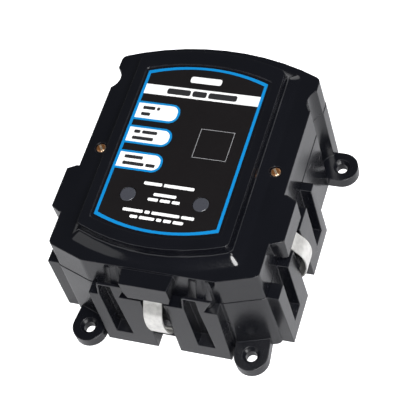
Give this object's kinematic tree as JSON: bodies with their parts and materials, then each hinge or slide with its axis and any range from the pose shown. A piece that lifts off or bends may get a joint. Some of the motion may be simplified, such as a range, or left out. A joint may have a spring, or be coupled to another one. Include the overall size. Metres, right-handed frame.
{
  "type": "surge protective device",
  "caption": "Wall-mounted surge protective device: black two-part case, printed face label, two status lenses, side latch clips, screw ears and a conduit nipple with leads.",
  "frame": {"origin": "centre of the flat back of the base housing, midway between the two long side walls", "axes": "+Z out of the labelled face, +Y towards the top of the label where the conduit nipple is, +X to the label's right"},
  "size_m": [0.153, 0.1907, 0.08],
  "materials": {
    "casing": "moulded gloss black, outdoor grade",
    "seal_rubber": "matt black silicone",
    "label_film": "printed film, satin, blue border and white panels without words",
    "lens": "smoked grey, polished",
    "clear_plastic": "clear moulded plastic",
    "lamp": "green tinted lamp",
    "screw_brass": "plain turned brass",
    "clip_steel": "bright spring strip, satin",
    "board": "green solder mask over glass laminate",
    "board_screw_steel": "zinc plated",
    "varistor_epoxy": "blue epoxy coat",
    "spring_metal": "tin plated spring strip",
    "bracket_steel": "zinc plated strip",
    "fuse_body": "plain ceramic tube with plated ends",
    "terminal_plastic": "moulded black",
    "zinc_fitting": "zinc plated, machined",
    "rating_foil": "brushed foil, blank bars",
    "wire_black": "black insulation",
    "wire_white": "white insulation",
    "wire_green": "green insulation"
  },
  "bodies": {
    "base": {"base_housing": "casing", "perimeter_gasket": "seal_rubber", "circuit_board": "board", "terminal_block": "terminal_plastic", "conduit_nipple": "zinc_fitting", "nipple_seal": "seal_rubber", "rating_plate": "rating_foil", "lead_line_1": "wire_black", "lead_line_2": "wire_black", "lead_neutral": "wire_white", "lead_ground": "wire_green", "status_lamp_left": "lamp", "threaded_insert_left": "screw_brass", "line_fuse_left": "fuse_body", "fuse_holder_left": "spring_metal", "status_lamp_right": "lamp", "threaded_insert_right": "screw_brass", "line_fuse_right": "fuse_body", "fuse_holder_right": "spring_metal", "board_screw_1": "board_screw_steel", "board_screw_2": "board_screw_steel", "board_screw_3": "board_screw_steel", "board_screw_4": "board_screw_steel", "varistor_line_1_neutral": "varistor_epoxy", "arm_bracket_line_1_neutral": "bracket_steel", "varistor_line_2_neutral": "varistor_epoxy", "arm_bracket_line_2_neutral": "bracket_steel", "varistor_line_1_ground": "varistor_epoxy", "arm_bracket_line_1_ground": "bracket_steel", "varistor_line_2_ground": "varistor_epoxy", "arm_bracket_line_2_ground": "bracket_steel"},
    "cover": {"cover_shell": "casing", "label_plate": "label_film", "status_lens_left": "lens", "status_lens_right": "lens", "light_pipe_left": "clear_plastic", "light_pipe_right": "clear_plastic", "screw_seal_left": "seal_rubber", "screw_seal_right": "seal_rubber"},
    "screw_left": {"cover_screw_left": "screw_brass"},
    "screw_right": {"cover_screw_right": "screw_brass"},
    "clip_bottom": {"latch_clip_bottom": "clip_steel"},
    "clip_right": {"latch_clip_right": "clip_steel"},
    "clip_left": {"latch_clip_left": "clip_steel"},
    "locknut": {"nipple_locknut": "zinc_fitting"},
    "arm_line_1_neutral": {"disconnect_arm_line_1_neutral": "spring_metal"},
    "arm_line_2_neutral": {"disconnect_arm_line_2_neutral": "spring_metal"},
    "arm_line_1_ground": {"disconnect_arm_line_1_ground": "spring_metal"},
    "arm_line_2_ground": {"disconnect_arm_line_2_ground": "spring_metal"}
  },
  "joints": [
    {"name": "cover_lift", "type": "slide", "parent": "base", "child": "cover", "axis": [0, 0, 1], "range_m": [0, 0.07]},
    {"name": "screw_turn_left", "type": "hinge", "parent": "cover", "child": "screw_left", "pos_m": [-0.0504, 0, 0.068], "axis": [0, 0, 1], "continuous": true},
    {"name": "screw_turn_right", "type": "hinge", "parent": "cover", "child": "screw_right", "pos_m": [0.0504, 0, 0.068], "axis": [0, 0, 1], "continuous": true},
    {"name": "clip_press_bottom", "type": "hinge", "parent": "base", "child": "clip_bottom", "pos_m": [0, -0.0751, 0.0146], "axis": [-1, 0, 0], "range_deg": [0, 1.8], "stiffness_Nm_per_rad": 0.4},
    {"name": "clip_press_right", "type": "hinge", "parent": "base", "child": "clip_right", "pos_m": [0.0634, -0.027, 0.0146], "axis": [0, -1, 0], "range_deg": [0, 1.8], "stiffness_Nm_per_rad": 0.4},
    {"name": "clip_press_left", "type": "hinge", "parent": "base", "child": "clip_left", "pos_m": [-0.0634, -0.027, 0.0146], "axis": [0, 1, 0], "range_deg": [0, 1.8], "stiffness_Nm_per_rad": 0.4},
    {"name": "locknut_turn", "type": "hinge", "parent": "base", "child": "locknut", "pos_m": [0, 0.0799, 0.024], "axis": [0, 1, 0], "continuous": true},
    {"name": "disconnect_line_1_neutral", "type": "hinge", "parent": "base", "child": "arm_line_1_neutral", "pos_m": [-0.022, 0.012, 0.0186], "axis": [1, 0, 0], "range_deg": [0, 22]},
    {"name": "disconnect_line_2_neutral", "type": "hinge", "parent": "base", "child": "arm_line_2_neutral", "pos_m": [0.022, 0.012, 0.0186], "axis": [1, 0, 0], "range_deg": [0, 22]},
    {"name": "disconnect_line_1_ground", "type": "hinge", "parent": "base", "child": "arm_line_1_ground", "pos_m": [-0.022, -0.014, 0.0186], "axis": [1, 0, 0], "range_deg": [0, 22]},
    {"name": "disconnect_line_2_ground", "type": "hinge", "parent": "base", "child": "arm_line_2_ground", "pos_m": [0.022, -0.014, 0.0186], "axis": [1, 0, 0], "range_deg": [0, 22]}
  ]
}
